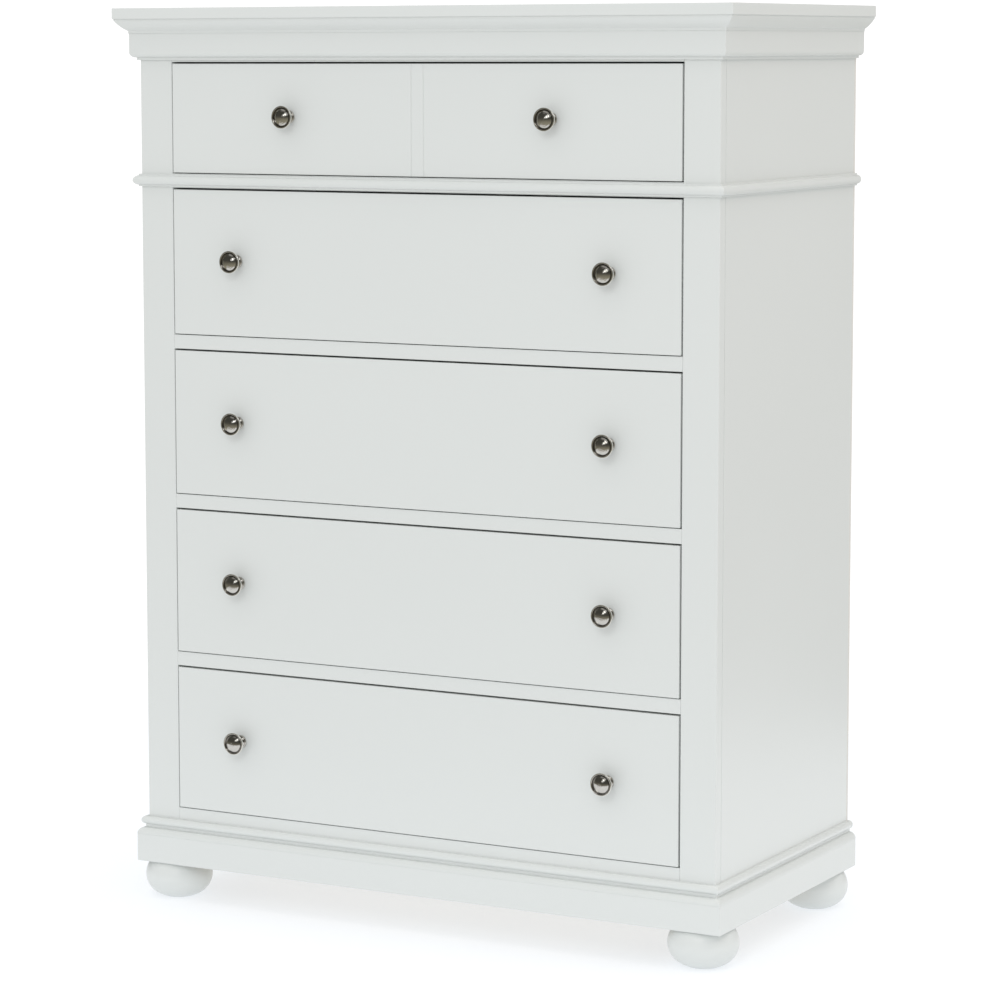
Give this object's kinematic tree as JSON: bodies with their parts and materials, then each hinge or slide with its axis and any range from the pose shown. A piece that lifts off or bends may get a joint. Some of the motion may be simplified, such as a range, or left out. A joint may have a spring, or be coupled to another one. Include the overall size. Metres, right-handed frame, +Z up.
{
  "type": "tall chest of drawers",
  "caption": "Tall painted chest of drawers with a moulded cornice, waist bead, moulded plinth, bun feet and round metal knobs; each drawer runs on ball-bearing side slides.",
  "frame": {"origin": "on the floor, below the centre of the cornice's outline", "axes": "+Z up, drawers open towards -Y, +X to the right as seen from the front"},
  "size_m": [0.988, 0.5, 1.32],
  "materials": {
    "painted_wood": "satin off-white paint",
    "plain_wood": "bare sanded softwood",
    "drawer_wood": "clear satin lacquer",
    "drawer_panel": "clear satin lacquer on plywood",
    "back_board": "thin off-white paint on fibreboard",
    "nickel": "polished nickel plate with a spun face",
    "slide_steel": "bright zinc plate",
    "zinc_steel": "dull zinc plate"
  },
  "bodies": {
    "carcass": {"stile_left": "painted_wood", "stile_right": "painted_wood", "rail_top": "painted_wood", "drawer_rails": "painted_wood", "rail_bottom": "painted_wood", "side_panel_right": "painted_wood", "side_panel_left": "painted_wood", "back_panel": "back_board", "back_screws": "zinc_steel", "bottom_board": "plain_wood", "top_board": "painted_wood", "crown_moulding": "painted_wood", "frieze_moulding": "painted_wood", "waist_moulding": "painted_wood", "base_moulding": "painted_wood", "plinth_boards": "painted_wood", "foot_front_left": "painted_wood", "foot_front_right": "painted_wood", "foot_rear_left": "painted_wood", "foot_rear_right": "painted_wood", "foot_bolts": "zinc_steel", "corner_blocks": "plain_wood", "case_slides": "slide_steel", "slide_cleats": "plain_wood"},
    "drawer_1": {"drawer_1_front": "painted_wood", "drawer_1_box_sides": "drawer_wood", "drawer_1_box_ends": "drawer_wood", "drawer_1_bottom": "drawer_panel", "drawer_1_knobs": "nickel", "drawer_1_slides": "slide_steel"},
    "slide_1": {"slide_1_middle": "slide_steel"},
    "drawer_2": {"drawer_2_front": "painted_wood", "drawer_2_box_sides": "drawer_wood", "drawer_2_box_ends": "drawer_wood", "drawer_2_bottom": "drawer_panel", "drawer_2_knobs": "nickel", "drawer_2_slides": "slide_steel"},
    "slide_2": {"slide_2_middle": "slide_steel"},
    "drawer_3": {"drawer_3_front": "painted_wood", "drawer_3_box_sides": "drawer_wood", "drawer_3_box_ends": "drawer_wood", "drawer_3_bottom": "drawer_panel", "drawer_3_knobs": "nickel", "drawer_3_slides": "slide_steel"},
    "slide_3": {"slide_3_middle": "slide_steel"},
    "drawer_4": {"drawer_4_front": "painted_wood", "drawer_4_box_sides": "drawer_wood", "drawer_4_box_ends": "drawer_wood", "drawer_4_bottom": "drawer_panel", "drawer_4_knobs": "nickel", "drawer_4_slides": "slide_steel"},
    "slide_4": {"slide_4_middle": "slide_steel"},
    "drawer_5": {"drawer_5_front": "painted_wood", "drawer_5_box_sides": "drawer_wood", "drawer_5_box_ends": "drawer_wood", "drawer_5_bottom": "drawer_panel", "drawer_5_knobs": "nickel", "drawer_5_slides": "slide_steel"},
    "slide_5": {"slide_5_middle": "slide_steel"}
  },
  "joints": [
    {"name": "drawer_1_slide", "type": "slide", "parent": "carcass", "child": "drawer_1", "axis": [0, -1, 0], "range_m": [0, 0.36]},
    {"name": "slide_1_travel", "type": "slide", "parent": "carcass", "child": "slide_1", "axis": [0, -1, 0], "range_m": [0, 0.18]},
    {"name": "drawer_2_slide", "type": "slide", "parent": "carcass", "child": "drawer_2", "axis": [0, -1, 0], "range_m": [0, 0.36]},
    {"name": "slide_2_travel", "type": "slide", "parent": "carcass", "child": "slide_2", "axis": [0, -1, 0], "range_m": [0, 0.18]},
    {"name": "drawer_3_slide", "type": "slide", "parent": "carcass", "child": "drawer_3", "axis": [0, -1, 0], "range_m": [0, 0.36]},
    {"name": "slide_3_travel", "type": "slide", "parent": "carcass", "child": "slide_3", "axis": [0, -1, 0], "range_m": [0, 0.18]},
    {"name": "drawer_4_slide", "type": "slide", "parent": "carcass", "child": "drawer_4", "axis": [0, -1, 0], "range_m": [0, 0.36]},
    {"name": "slide_4_travel", "type": "slide", "parent": "carcass", "child": "slide_4", "axis": [0, -1, 0], "range_m": [0, 0.18]},
    {"name": "drawer_5_slide", "type": "slide", "parent": "carcass", "child": "drawer_5", "axis": [0, -1, 0], "range_m": [0, 0.36]},
    {"name": "slide_5_travel", "type": "slide", "parent": "carcass", "child": "slide_5", "axis": [0, -1, 0], "range_m": [0, 0.18]}
  ],
  "couplings": [
    {"joint": "slide_1_travel", "follows": "drawer_1_slide", "ratio": 0.5},
    {"joint": "slide_2_travel", "follows": "drawer_2_slide", "ratio": 0.5},
    {"joint": "slide_3_travel", "follows": "drawer_3_slide", "ratio": 0.5},
    {"joint": "slide_4_travel", "follows": "drawer_4_slide", "ratio": 0.5},
    {"joint": "slide_5_travel", "follows": "drawer_5_slide", "ratio": 0.5}
  ]
}
